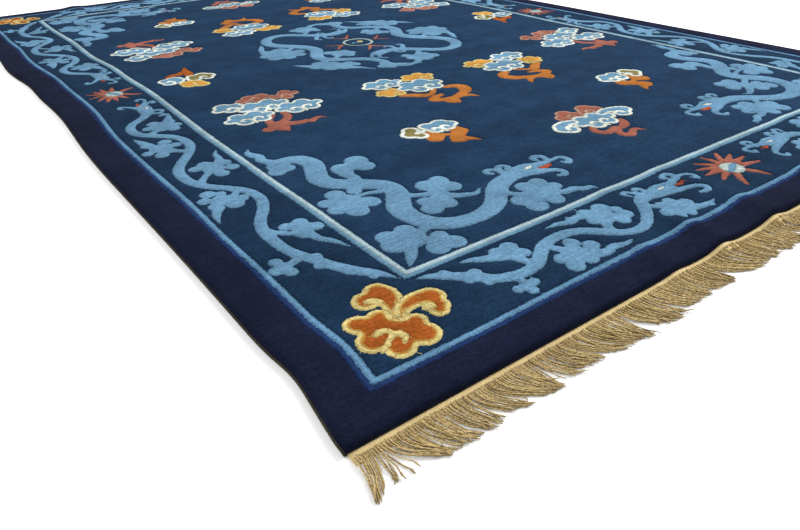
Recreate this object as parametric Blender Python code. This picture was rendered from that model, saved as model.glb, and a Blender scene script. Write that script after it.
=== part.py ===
# Hand-knotted pile rug with a woven strip and a cotton fringe at each short end.
# Metres, +Z up, +Y along the length, origin under the middle of the rug on the floor.
import math

import bmesh
import bpy

# Driving dimensions
PILE_WIDTH = 1.818
PILE_LENGTH = 2.743
RUG_THICKNESS = 0.014
FOUNDATION_THICKNESS = 0.0025
SELVEDGE_LIP = 0.0025
PILE_EDGE_ROUND = 0.006
PILE_SHOULDER_HEIGHT = 0.009
STRIP_WIDTH = 0.016
STRIP_THICKNESS = 0.0025
STRIP_END_MARGIN = 0.001
PIECE_GAP = 0.0003

LOCK_COUNT = 90
LOCK_ROOT_SHARE = 0.72
LOCK_TOP_SHARE = 0.80
LOCK_REACH = 0.048
LOCK_UNEVEN = 0.16
LOCK_THICKNESS = 0.0034
LOCK_LEAN = 0.030
CORNER_LEAN = -0.016
CORNER_SPREAD = 0.045

# Spacing of the grid lines of the pile
FINE_STEP = 0.016
COARSE_STEP = 0.110
END_STEPS = (0.045, 0.105, 0.185, 0.290, 0.430)
MIDDLE_STEP = 0.215

# Soft ripples that run in from an end: which end, place across, height, spread and run
RIPPLE_COLUMNS = ("end", "x", "height", "spread", "run")
RIPPLES = (
    (-1, -0.369, 0.0035, 0.024, 0.24),
    (-1, -0.259, 0.0080, 0.025, 0.30),
    (-1, -0.118, 0.0085, 0.028, 0.33),
    (-1, 0.085, 0.0060, 0.030, 0.28),
    (-1, 0.330, 0.0070, 0.034, 0.36),
    (-1, 0.610, 0.0045, 0.032, 0.26),
    (1, -0.520, 0.0050, 0.032, 0.26),
    (1, -0.140, 0.0060, 0.030, 0.30),
    (1, 0.420, 0.0050, 0.032, 0.24),
)

# Long edges that wander: which side, place along, spread and shift across
WANDER_COLUMNS = ("side", "y", "spread", "shift")
WANDERS = (
    (-1, -1.372, 0.060, -0.008),
    (-1, -1.235, 0.050, 0.006),
    (-1, -0.950, 0.450, 0.005),
    (-1, -0.060, 0.230, 0.015),
    (-1, 0.250, 0.110, 0.008),
    (-1, 0.470, 0.120, -0.006),
    (-1, 0.720, 0.100, 0.004),
    (-1, 1.000, 0.420, -0.011),
    (1, 0.080, 0.480, 0.014),
    (1, -1.250, 0.360, -0.013),
    (1, 0.900, 0.110, -0.005),
)
WANDER_FADE = 0.8

# Waves that gather the fringe into clumps: length, share of the closest gathering, phase
CLUMP_COLUMNS = ("length", "gather", "phase")
CLUMPS = {
    -1: ((0.152, 0.33, 0.6), (0.087, 0.19, 2.1)),
    1: ((0.171, 0.31, 2.4), (0.096, 0.20, 0.3)),
}
LOCK_STAGES = ((0.34, 1.06, 1.00), (0.70, 0.88, 0.95), (1.00, 0.46, 0.62))
LEAN_POWER = 1.5

HALF_WIDTH = PILE_WIDTH / 2
HALF_LENGTH = PILE_LENGTH / 2


def rows(columns, table):
    """Gives each row of a short table as a dictionary of its named columns."""
    return [dict(zip(columns, row)) for row in table]


def bell(distance, spread):
    return math.exp(-(distance / spread) ** 2)


def lift(x, y):
    """Height of the ripples above the floor at a place on the rug."""
    height = 0.0
    for ripple in rows(RIPPLE_COLUMNS, RIPPLES):
        inward = HALF_LENGTH - ripple["end"] * y
        if inward >= ripple["run"]:
            continue
        fade = 0.5 + 0.5 * math.cos(math.pi * max(inward, 0.0) / ripple["run"])
        across = abs(x - ripple["x"])
        if across < 2.4 * ripple["spread"]:
            height += ripple["height"] * fade * bell(across, ripple["spread"])
    return height


def lay(x, y, z):
    """Puts a point of the straight rug where it lies, with its wandering edges and ripples."""
    shift = 0.0
    for wander in rows(WANDER_COLUMNS, WANDERS):
        weight = max(0.0, wander["side"] * x / HALF_WIDTH) ** WANDER_FADE
        shift += wander["shift"] * weight * bell(y - wander["y"], wander["spread"])
    return (x + shift, y, z + lift(x, y))


def grid_lines_across():
    """Places across the width: close together over the ripples and wide apart elsewhere."""
    edge = HALF_WIDTH - PILE_EDGE_ROUND
    lines = [-edge]
    while lines[-1] < edge - COARSE_STEP * 0.3:
        here = lines[-1]
        near = any(
            -2.4 * r["spread"] - FINE_STEP < here - r["x"] < 2.0 * r["spread"]
            for r in rows(RIPPLE_COLUMNS, RIPPLES)
        )
        lines.append(here + (FINE_STEP if near else FINE_STEP * 3))
    lines[-1] = edge
    return lines


def grid_lines_along():
    """Places along the length: close together at the two ends."""
    edge = HALF_LENGTH - PILE_EDGE_ROUND
    near = [-edge] + [-HALF_LENGTH + step for step in END_STEPS]
    far = [-y for y in reversed(near)]
    span = far[0] - near[-1]
    count = round(span / MIDDLE_STEP)
    middle = [near[-1] + span * i / count for i in range(1, count)]
    return near + middle + far


def add_grid(mesh, lines_x, lines_y, z):
    return [[mesh.verts.new(lay(x, y, z)) for x in lines_x] for y in lines_y]


def fill_grid(mesh, grid):
    for low, high in zip(grid, grid[1:]):
        for i in range(len(low) - 1):
            mesh.faces.new((low[i], low[i + 1], high[i + 1], high[i]))


def rim_of(grid):
    """The outer ring of a grid's points, counter-clockwise seen from above."""
    bottom = grid[0][:-1]
    right = [row[-1] for row in grid[:-1]]
    top = grid[-1][:0:-1]
    left = [row[0] for row in grid[:0:-1]]
    return bottom + right + top + left


def rim_places(lines_x, lines_y):
    grid = [[(x, y) for x in lines_x] for y in lines_y]
    return rim_of(grid)


def pushed_out(place, lines_x, lines_y, out_x, out_y):
    """Moves a place on the rim outwards, to the given distances from the middle."""
    x, y = place
    if x in (lines_x[0], lines_x[-1]):
        x = math.copysign(out_x, x)
    if y in (lines_y[0], lines_y[-1]):
        y = math.copysign(out_y, y)
    return x, y


def join_rings(mesh, lower, upper):
    count = len(lower)
    for i in range(count):
        j = (i + 1) % count
        mesh.faces.new((lower[i], lower[j], upper[j], upper[i]))


def build_pile_carpet(material):
    """The knotted cloth: foundation and pile as one solid, its long edges showing a thin lip."""
    mesh = bmesh.new()
    lines_x = grid_lines_across()
    lines_y = grid_lines_along()
    top = add_grid(mesh, lines_x, lines_y, RUG_THICKNESS)
    underside = add_grid(mesh, lines_x, lines_y, 0.0)
    fill_grid(mesh, top)
    fill_grid(mesh, underside)
    places = rim_places(lines_x, lines_y)
    lip = HALF_WIDTH + SELVEDGE_LIP
    ring_sizes = (
        (lip, 0.0),
        (lip, FOUNDATION_THICKNESS),
        (HALF_WIDTH, PILE_SHOULDER_HEIGHT),
    )
    rings = [rim_of(underside)]
    for out_x, z in ring_sizes:
        ring = []
        for place in places:
            x, y = pushed_out(place, lines_x, lines_y, out_x, HALF_LENGTH)
            ring.append(mesh.verts.new(lay(x, y, z)))
        rings.append(ring)
    rings.append(rim_of(top))
    for lower, upper in zip(rings, rings[1:]):
        join_rings(mesh, lower, upper)
    return finish_object(mesh, "pile_carpet", material)


def gather(x, end):
    """Sideways pull of the clumps on a lock's tip, which never makes two locks cross."""
    pull = 0.0
    for clump in rows(CLUMP_COLUMNS, CLUMPS[end]):
        turn = 2 * math.pi / clump["length"]
        pull += clump["gather"] / turn * math.sin(turn * x + clump["phase"])
    return pull


def lean(x, end):
    """Sideways lean of a lock's tip: towards one side, but for the corner lock."""
    along = min(1.0, (HALF_WIDTH + end * -x) / CORNER_SPREAD)
    blend = along * along * (3 - 2 * along)
    return -end * (CORNER_LEAN + (LOCK_LEAN - CORNER_LEAN) * blend)


def reach(index, end):
    """How far a lock lies out from the strip, uneven from lock to lock."""
    wave = 0.6 * math.sin(index * 2.39 + end) + 0.4 * math.sin(index * 0.71 + 2 * end)
    return LOCK_REACH * (1 - LOCK_UNEVEN * (0.5 - 0.5 * wave))


def strip_section(mesh, x, end, sides):
    """The strip's corner points at one place: inner and outer, low and high."""
    y_of = {
        "inner": end * (HALF_LENGTH + PIECE_GAP),
        "outer": end * (HALF_LENGTH + PIECE_GAP + STRIP_WIDTH),
    }
    base = lay(x, end * HALF_LENGTH, 0.0)
    section = {}
    for side in sides:
        for level, z in (("low", 0.0), ("high", STRIP_THICKNESS)):
            section[side, level] = mesh.verts.new((base[0], y_of[side], base[2] + z))
    return section


def add_lock(mesh, start, stop, index, end):
    """One lock of fringe yarn, drawn out of the strip's outer face and level on the floor."""
    left = start["outer", "low"].co
    right = stop["outer", "low"].co
    root_x = (left.x + right.x) / 2
    root_half = (right.x - left.x) / 2
    sway = lean(root_x, end) + gather(root_x, end)
    last = [start["outer", "low"], stop["outer", "low"], stop["outer", "high"], start["outer", "high"]]
    for along, width_share, height_share in LOCK_STAGES:
        out = reach(index, end) * along
        x = root_x + sway * (out / LOCK_REACH) ** LEAN_POWER
        y = left.y + end * out
        half = root_half * width_share
        top_half = half * LOCK_TOP_SHARE
        z = LOCK_THICKNESS * height_share
        corners = ((x - half, 0.0), (x + half, 0.0), (x + top_half, z), (x - top_half, z))
        ring = [mesh.verts.new((corner_x, y, corner_z)) for corner_x, corner_z in corners]
        join_rings(mesh, last, ring)
        last = ring
    mesh.faces.new(last)


def add_strip_cell(mesh, start, stop, ahead):
    """The strip behind one lock and as far as the next one."""
    for level in ("low", "high"):
        mesh.faces.new((start["inner", level], stop["outer", level], start["outer", level]))
        mesh.faces.new(
            (start["inner", level], ahead["inner", level], ahead["outer", level], stop["outer", level])
        )
    for near, far, side in ((start, ahead, "inner"), (stop, ahead, "outer")):
        mesh.faces.new((near[side, "low"], near[side, "high"], far[side, "high"], far[side, "low"]))


def build_fringe(name, end, material):
    """The woven end strip with its locks of loose warp yarn, one solid."""
    mesh = bmesh.new()
    edge = -HALF_WIDTH + STRIP_END_MARGIN
    pitch = (PILE_WIDTH - 2 * STRIP_END_MARGIN) / LOCK_COUNT
    root_width = pitch * LOCK_ROOT_SHARE
    places = [edge + pitch * index for index in range(LOCK_COUNT + 1)]
    starts = [strip_section(mesh, x, end, ("inner", "outer")) for x in places]
    stops = [strip_section(mesh, x + root_width, end, ("outer",)) for x in places[:-1]]
    for index in range(LOCK_COUNT):
        add_strip_cell(mesh, starts[index], stops[index], starts[index + 1])
        add_lock(mesh, starts[index], stops[index], index, end)
    for cap in (starts[0], starts[-1]):
        mesh.faces.new((cap["inner", "low"], cap["outer", "low"], cap["outer", "high"], cap["inner", "high"]))
    return finish_object(mesh, name, material)


def finish_object(mesh, name, material):
    bmesh.ops.recalc_face_normals(mesh, faces=mesh.faces)
    data = bpy.data.meshes.new(name)
    mesh.to_mesh(data)
    mesh.free()
    data.materials.append(material)
    item = bpy.data.objects.new(name, data)
    bpy.context.scene.collection.objects.link(item)
    return item


def make_material(name, colour, roughness):
    material = bpy.data.materials.new(name)
    material.use_nodes = True
    shader = material.node_tree.nodes["Principled BSDF"]
    shader.inputs["Base Color"].default_value = (*colour, 1.0)
    shader.inputs["Roughness"].default_value = roughness
    shader.inputs["Metallic"].default_value = 0.0
    return material


def clear_scene():
    for item in list(bpy.data.objects):
        bpy.data.objects.remove(item)


def main():
    clear_scene()
    wool = make_material("navy_wool_pile", (0.012, 0.030, 0.085), 0.95)
    cotton = make_material("natural_cotton", (0.50, 0.36, 0.17), 0.90)
    build_pile_carpet(wool)
    build_fringe("fringe_near", -1, cotton)
    build_fringe("fringe_far", 1, cotton)


main()
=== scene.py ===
import math
import random

import bmesh
import bpy
import numpy as np
from mathutils import Matrix, Vector, geometry, kdtree


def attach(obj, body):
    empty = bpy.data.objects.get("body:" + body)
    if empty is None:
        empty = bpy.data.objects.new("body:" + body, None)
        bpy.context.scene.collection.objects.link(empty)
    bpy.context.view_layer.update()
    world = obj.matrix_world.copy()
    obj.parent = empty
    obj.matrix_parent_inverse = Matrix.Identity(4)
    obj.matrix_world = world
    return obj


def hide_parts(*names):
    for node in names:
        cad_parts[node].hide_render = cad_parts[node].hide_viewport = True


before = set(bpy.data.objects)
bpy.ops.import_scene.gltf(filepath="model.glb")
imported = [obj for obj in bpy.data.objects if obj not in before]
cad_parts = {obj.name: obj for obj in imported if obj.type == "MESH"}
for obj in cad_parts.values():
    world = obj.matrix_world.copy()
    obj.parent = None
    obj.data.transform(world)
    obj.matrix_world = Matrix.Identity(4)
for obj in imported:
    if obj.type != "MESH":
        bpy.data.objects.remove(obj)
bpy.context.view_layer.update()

print("frame loaded:", sorted(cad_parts))

# Hand-knotted rug with carved dragon, cloud and blossom ornament.
# The drawing is in millimetres from the middle of the rug, +x across and +y along it.

metresPerMm = 0.001

camera = {
    "place": (-1.1338, -1.7822, 0.5033),
    "heading": 35.318,  # degrees from +Y towards +X
    "down": 31.503,
    "roll": -1.723,
    "lens": 29.81,
    "sensor": 36.0,
}


def makeCamera():
    heading, down, roll = (math.radians(camera[k]) for k in ("heading", "down", "roll"))
    ahead = Vector((math.sin(heading) * math.cos(down), math.cos(heading) * math.cos(down), -math.sin(down)))
    right = Vector((math.cos(heading), -math.sin(heading), 0.0))
    up = right.cross(ahead)
    rolledRight = right * math.cos(roll) + up * math.sin(roll)
    rolledUp = up * math.cos(roll) - right * math.sin(roll)
    data = bpy.data.cameras.new("photoCamera")
    data.lens = camera["lens"]
    data.sensor_width = camera["sensor"]
    item = bpy.data.objects.new("photoCamera", data)
    item.matrix_world = Matrix((
        (rolledRight.x, rolledUp.x, -ahead.x, camera["place"][0]),
        (rolledRight.y, rolledUp.y, -ahead.y, camera["place"][1]),
        (rolledRight.z, rolledUp.z, -ahead.z, camera["place"][2]),
        (0.0, 0.0, 0.0, 1.0),
    ))
    bpy.context.scene.collection.objects.link(item)
    bpy.context.scene.camera = item


studio = {
    "sky": 0.92,
    "floorColour": (0.90, 0.90, 0.90),
    "floorHalf": 14.0,
    "floorDrop": 0.0004,
    # name, place, aimed at, size and power of each soft light
    "lights": (
        ("windowLight", (3.6, -0.4, 3.2), (0.3, -0.3, 0.0), 2.6, 250.0),
        ("fillLight", (-2.6, 3.0, 3.6), (0.0, 0.0, 0.0), 3.4, 90.0),
    ),
}


def makeStudio():
    world = bpy.data.worlds.new("studioWorld")
    world.use_nodes = True
    world.node_tree.nodes["Background"].inputs["Color"].default_value = (1.0, 1.0, 1.0, 1.0)
    world.node_tree.nodes["Background"].inputs["Strength"].default_value = studio["sky"]
    bpy.context.scene.world = world
    bpy.context.scene.view_settings.view_transform = "Standard"
    half = studio["floorHalf"]
    drop = -studio["floorDrop"]
    data = bpy.data.meshes.new("floor")
    corners = [(-half, -half, drop), (half, -half, drop), (half, half, drop), (-half, half, drop)]
    data.from_pydata(corners, [], [(0, 1, 2, 3)])
    material = bpy.data.materials.new("paleFloor")
    material.use_nodes = True
    shader = material.node_tree.nodes["Principled BSDF"]
    shader.inputs["Base Color"].default_value = (*studio["floorColour"], 1.0)
    shader.inputs["Roughness"].default_value = 0.8
    data.materials.append(material)
    floor = bpy.data.objects.new("floor", data)
    bpy.context.scene.collection.objects.link(floor)
    for name, place, aim, size, power in studio["lights"]:
        light = bpy.data.lights.new(name, "AREA")
        light.shape = "DISK"
        light.size = size
        light.energy = power
        lamp = bpy.data.objects.new(name, light)
        lamp.location = place
        lamp.rotation_euler = (Vector(aim) - Vector(place)).to_track_quat("-Z", "Y").to_euler()
        bpy.context.scene.collection.objects.link(lamp)


# How the rug lies: the same sizes as its solid, in millimetres
carpet = {
    "halfWidth": 909.0,
    "halfLength": 1371.5,
    "thickness": 14.0,
    "topInset": 6.0,
    # how far the side stands out from the top's rim, and its height, from the top down
    "sideRows": ((2.6, 13.5), (4.6, 12.2), (5.7, 10.4), (6.1, 8.0), (6.2, 5.0), (6.4, 3.0)),
    "lip": 2.5,
    "lipHeight": 2.4,
    # a ripple runs in from a short end: end, place across, height, spread and run
    "ripples": (
        (-1, -369, 3.5, 24, 240), (-1, -259, 8.0, 25, 300), (-1, -118, 8.5, 28, 330),
        (-1, 85, 6.0, 30, 280), (-1, 330, 7.0, 34, 360), (-1, 610, 4.5, 32, 260),
        (1, -520, 5.0, 32, 260), (1, -140, 6.0, 30, 300), (1, 420, 5.0, 32, 240),
    ),
    # a long edge wanders: side, place along, spread and shift
    "wanders": (
        (-1, -1372, 60, -8), (-1, -1235, 50, 6), (-1, -950, 450, 5), (-1, -60, 230, 15),
        (-1, 250, 110, 8), (-1, 470, 120, -6), (-1, 720, 100, 4), (-1, 1000, 420, -11),
        (1, 80, 480, 14), (1, -1250, 360, -13), (1, 900, 110, -5),
    ),
    "wanderFade": 0.8,
    # the drawing strays a little from its plan: wavelength across, along, shift and phase
    "strays": ((760, 910, 2.2, 0.7), (410, 530, 1.5, 2.9), (230, 290, 0.8, 5.1)),
    "grooveReach": 3.0,
    "grooveDepth": {"outline": 1.5, "inner": 0.6, "border": 1.3},
    "openSpacing": 25.0,
    "rippleSpacing": 12.0,
    "undersideSpacing": 70.0,
}


def liftAt(x, y):
    total = np.zeros_like(x)
    for end, place, height, spread, run in carpet["ripples"]:
        inward = np.clip(carpet["halfLength"] - end * y, 0.0, run)
        across = np.abs(x - place)
        bell = np.exp(-(across / spread) ** 2) * (across < 2.4 * spread)
        total += height * (0.5 + 0.5 * np.cos(np.pi * inward / run)) * bell
    return total


def wanderAt(x, y):
    shift = np.zeros_like(x)
    for side, place, spread, reach in carpet["wanders"]:
        weight = np.clip(side * x / carpet["halfWidth"], 0.0, None) ** carpet["wanderFade"]
        shift += reach * weight * np.exp(-((y - place) / spread) ** 2)
    return shift


def strayAt(x, y):
    # fades out towards the rim, which stays straight
    rim = np.minimum(carpet["halfWidth"] - np.abs(x), carpet["halfLength"] - np.abs(y))
    fade = np.clip(rim / 90.0, 0.0, 1.0)
    strayX = np.zeros_like(x)
    strayY = np.zeros_like(x)
    for across, along, reach, phase in carpet["strays"]:
        strayX += reach * np.sin(2 * np.pi * y / along + phase) * np.cos(2 * np.pi * x / across + 2 * phase)
        strayY += reach * np.sin(2 * np.pi * x / across + 3 * phase) * np.cos(2 * np.pi * y / along + phase)
    return strayX * fade, strayY * fade


def laid(flat, heights):
    x, y = flat[:, 0], flat[:, 1]
    return np.column_stack((x + wanderAt(x, y), y, heights + liftAt(x, y)))


# Drawing with a few plain marks: a mark is a chain of (x, y, half width)
drawing = {
    "smoothStep": 6.0,
    "gridStep": 2.4,
    "margin": 14.0,
    "far": 30.0,
    "fuse": 4.0,
    "tolerance": 0.32,
    "longest": 10.0,
}


def stroke(*points):
    if len(points) == 2:
        return [points[0], points[1]]
    given = np.array(points, float)
    padded = np.vstack((2 * given[0] - given[1], given, 2 * given[-1] - given[-2]))
    chain = []
    for p0, p1, p2, p3 in zip(padded, padded[1:], padded[2:], padded[3:]):
        steps = max(2, int(np.hypot(*(p2 - p1)[:2]) / drawing["smoothStep"]))
        for t in np.arange(steps) / steps:
            chain.append(tuple(0.5 * (
                2 * p1 + (p2 - p0) * t + (2 * p0 - 5 * p1 + 4 * p2 - p3) * t ** 2
                + (3 * p1 - p0 - 3 * p2 + p3) * t ** 3)))
    return chain + [points[-1]]


def lobes(*points):
    return [[point] for point in points]


def arc(x, y, radius, start, stop, wide, thin=None):
    # runs from one angle to the other, both in degrees, and may wind in if radius is a pair
    outer, inner = radius if isinstance(radius, tuple) else (radius, radius)
    thin = wide if thin is None else thin
    count = max(3, int(abs(stop - start) / 24))
    chain = []
    for i in range(count + 1):
        t = i / count
        angle = math.radians(start + (stop - start) * t)
        r = outer + (inner - outer) * t
        chain.append((x + r * math.cos(angle), y + r * math.sin(angle), wide + (thin - wide) * t))
    return chain


def tapered(step, ax, ay, ar, bx, by, br, xs, ys):
    dx, dy = bx - ax, by - ay
    length2 = dx * dx + dy * dy
    px, py = xs[None, :] - ax, ys[:, None] - ay
    if length2 < 1e-9:
        return np.hypot(px, py) - ar
    t = np.clip((px * dx + py * dy) / length2, 0.0, 1.0)
    return np.hypot(px - t * dx, py - t * dy) - (ar + (br - ar) * t)


def shapeField(marks, xs, ys):
    # signed distance to the fused marks, below zero inside
    whole = np.full((len(ys), len(xs)), drawing["far"])
    fuse = drawing["fuse"]
    for chain in marks:
        own = np.full_like(whole, drawing["far"])
        for (ax, ay, ar), (bx, by, br) in zip(chain, chain[1:] or chain):
            reach = max(ar, br) + drawing["margin"]
            i0, i1 = np.searchsorted(xs, (min(ax, bx) - reach, max(ax, bx) + reach))
            j0, j1 = np.searchsorted(ys, (min(ay, by) - reach, max(ay, by) + reach))
            part = tapered(0, ax, ay, ar, bx, by, br, xs[i0:i1], ys[j0:j1])
            own[j0:j1, i0:i1] = np.minimum(own[j0:j1, i0:i1], part)
        overlap = np.clip(fuse - np.abs(whole - own), 0.0, None)
        whole = np.minimum(whole, own) - overlap * overlap / (4 * fuse)
    return whole


def trueDepth(field, xs, ys):
    # inside, the distance to the shape's own outline, so that a rim keeps one width
    line = np.concatenate(levelLoops(field, 0.0, xs, ys))
    inside = np.argwhere(field < 0)
    places = np.column_stack((xs[inside[:, 1]], ys[inside[:, 0]]))
    deep = field.copy()
    for first in range(0, len(places), 400):
        part = places[first:first + 400]
        away = np.hypot(part[:, None, 0] - line[None, :, 0], part[:, None, 1] - line[None, :, 1]).min(axis=1)
        deep[tuple(inside[first:first + 400].T)] = -away
    return deep


def sampled(field, xs, ys, points):
    step = drawing["gridStep"]
    u = np.clip((points[:, 0] - xs[0]) / step, 0, len(xs) - 1.001)
    v = np.clip((points[:, 1] - ys[0]) / step, 0, len(ys) - 1.001)
    i, j = u.astype(int), v.astype(int)
    fu, fv = u - i, v - j
    low = field[j, i] * (1 - fu) + field[j, i + 1] * fu
    high = field[j + 1, i] * (1 - fu) + field[j + 1, i + 1] * fu
    return low * (1 - fv) + high * fv


def levelLoops(field, level, xs, ys):
    # closed outlines where the field crosses a level
    width = field.shape[1]
    inside = field < level
    count = (inside[:-1, :-1].astype(int) + inside[:-1, 1:] + inside[1:, :-1] + inside[1:, 1:])
    links = {}
    places = {}

    def crossing(j, i, upright):
        key = (j * width + i) * 2 + upright
        if key not in places:
            other = (j + 1, i) if upright else (j, i + 1)
            here, there = field[j, i] - level, field[other] - level
            t = here / (here - there)
            places[key] = (
                xs[i] + (0 if upright else t * (xs[i + 1] - xs[i])),
                ys[j] + (t * (ys[j + 1] - ys[j]) if upright else 0),
            )
        return key

    for j, i in np.argwhere((count > 0) & (count < 4)):
        a, b = inside[j, i], inside[j, i + 1]
        d, c = inside[j + 1, i], inside[j + 1, i + 1]
        sides = []
        if a != b:
            sides.append(crossing(j, i, 0))
        if b != c:
            sides.append(crossing(j, i + 1, 1))
        if c != d:
            sides.append(crossing(j + 1, i, 0))
        if d != a:
            sides.append(crossing(j, i, 1))
        if len(sides) == 4:
            middle = field[j:j + 2, i:i + 2].mean() < level
            order = (0, 1, 2, 3) if middle != a else (0, 3, 1, 2)
            sides = [sides[k] for k in order]
        for p, q in zip(sides[::2], sides[1::2]):
            links.setdefault(p, []).append(q)
            links.setdefault(q, []).append(p)
    loops = []
    while links:
        start = next(iter(links))
        loop, here = [start], links[start][0]
        before = start
        while here != start:
            loop.append(here)
            ahead = links[here]
            after = ahead[1] if ahead[0] == before else ahead[0]
            before, here = here, after
        for key in loop:
            links.pop(key, None)
        if len(loop) > 5:
            loops.append(np.array([places[key] for key in loop]))
    return loops


def keptPlaces(run):
    # the few places of a run that hold its shape
    keep = {0, len(run) - 1}
    stack = [(0, len(run) - 1)]
    while stack:
        first, last = stack.pop()
        if last - first < 2:
            continue
        a, b = run[first], run[last]
        along = b - a
        length = math.hypot(*along)
        offset = run[first + 1:last] - a
        if length > 1e-6:
            away = np.abs(offset[:, 0] * along[1] - offset[:, 1] * along[0]) / length
        else:
            away = np.hypot(offset[:, 0], offset[:, 1])
        worst = int(away.argmax())
        if away[worst] > drawing["tolerance"] or length > drawing["longest"] or length < 1e-6:
            middle = first + 1 + worst if away[worst] > drawing["tolerance"] else (first + last) // 2
            keep.add(middle)
            stack += [(first, middle), (middle, last)]
    return sorted(keep)


def visibleRuns(loop, hidden):
    if not hidden.any():
        closed = np.vstack((loop, loop[:1]))
        return [closed]
    if hidden.all():
        return []
    start = int(np.argmax(hidden))
    order = np.roll(np.arange(len(loop)), -start)
    order = np.append(order, order[0])
    runs, run = [], []
    for before, here in zip(order, order[1:]):
        if not hidden[here]:
            if not run:
                run.append(before)
            run.append(here)
        elif run:
            runs.append(loop[run + [here]])
            run = []
    return runs


dyes = (
    ("navy", (27, 32, 54)),
    ("royalLine", (36, 58, 102)),
    ("lightLine", (102, 145, 178)),
    ("bandBlue", (28, 51, 76)),
    ("creamLine", (172, 197, 206)),
    ("paleLine", (104, 145, 172)),
    ("fieldBlue", (32, 58, 86)),
    ("steelBlue", (107, 149, 180)),
    ("cream", (230, 236, 224)),
    ("cloudBlue", (106, 148, 176)),
    ("paleGold", (218, 200, 132)),
    ("ochre", (200, 146, 68)),
    ("rust", (166, 88, 36)),
    ("orange", (182, 114, 54)),
    ("terracotta", (160, 98, 82)),
    ("pinkTan", (190, 150, 134)),
    ("olive", (132, 122, 74)),
    ("red", (176, 82, 56)),
    ("ringCream", (176, 194, 190)),
    ("selvedge", (74, 70, 56)),
    ("backCloth", (96, 98, 104)),
)
dyeNumber = {name: i for i, (name, _) in enumerate(dyes)}

# a shape is dyed in steps: from this depth inwards, this dye
dyeSteps = {
    "steel": ((0, "steelBlue"),),
    "cream": ((0, "cream"),),
    "red": ((0, "red"),),
    "cloud": ((0, "cream"), (8.0, "cloudBlue")),
    "goldCloud": ((0, "paleGold"), (6.5, "ochre")),
    "creamGold": ((0, "paleGold"), (8.0, "ochre")),
    "oliveCloud": ((0, "cream"), (9.0, "olive")),
    "ruyi": ((0, "paleGold"), (7.0, "ochre"), (10.0, "rust")),
    "gold": ((0, "paleGold"),),
    "pinkCloud": ((0, "pinkTan"), (6.0, "terracotta")),
    "pinkCurl": ((0, "pinkTan"),),
    "terracotta": ((0, "terracotta"),),
    "orangeTail": ((0, "orange"),),
    "rustFlame": ((0, "rust"),),
    "pearl": ((0, "ringCream"),),
    "pearlBand": ((0, "cloudBlue"),),
    "ring": ((0, "ringCream"),),
}
blendedDyes = (("paleGold", "ochre", "rust"), ("cream", "cloudBlue"), ("pinkTan", "terracotta"))


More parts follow.
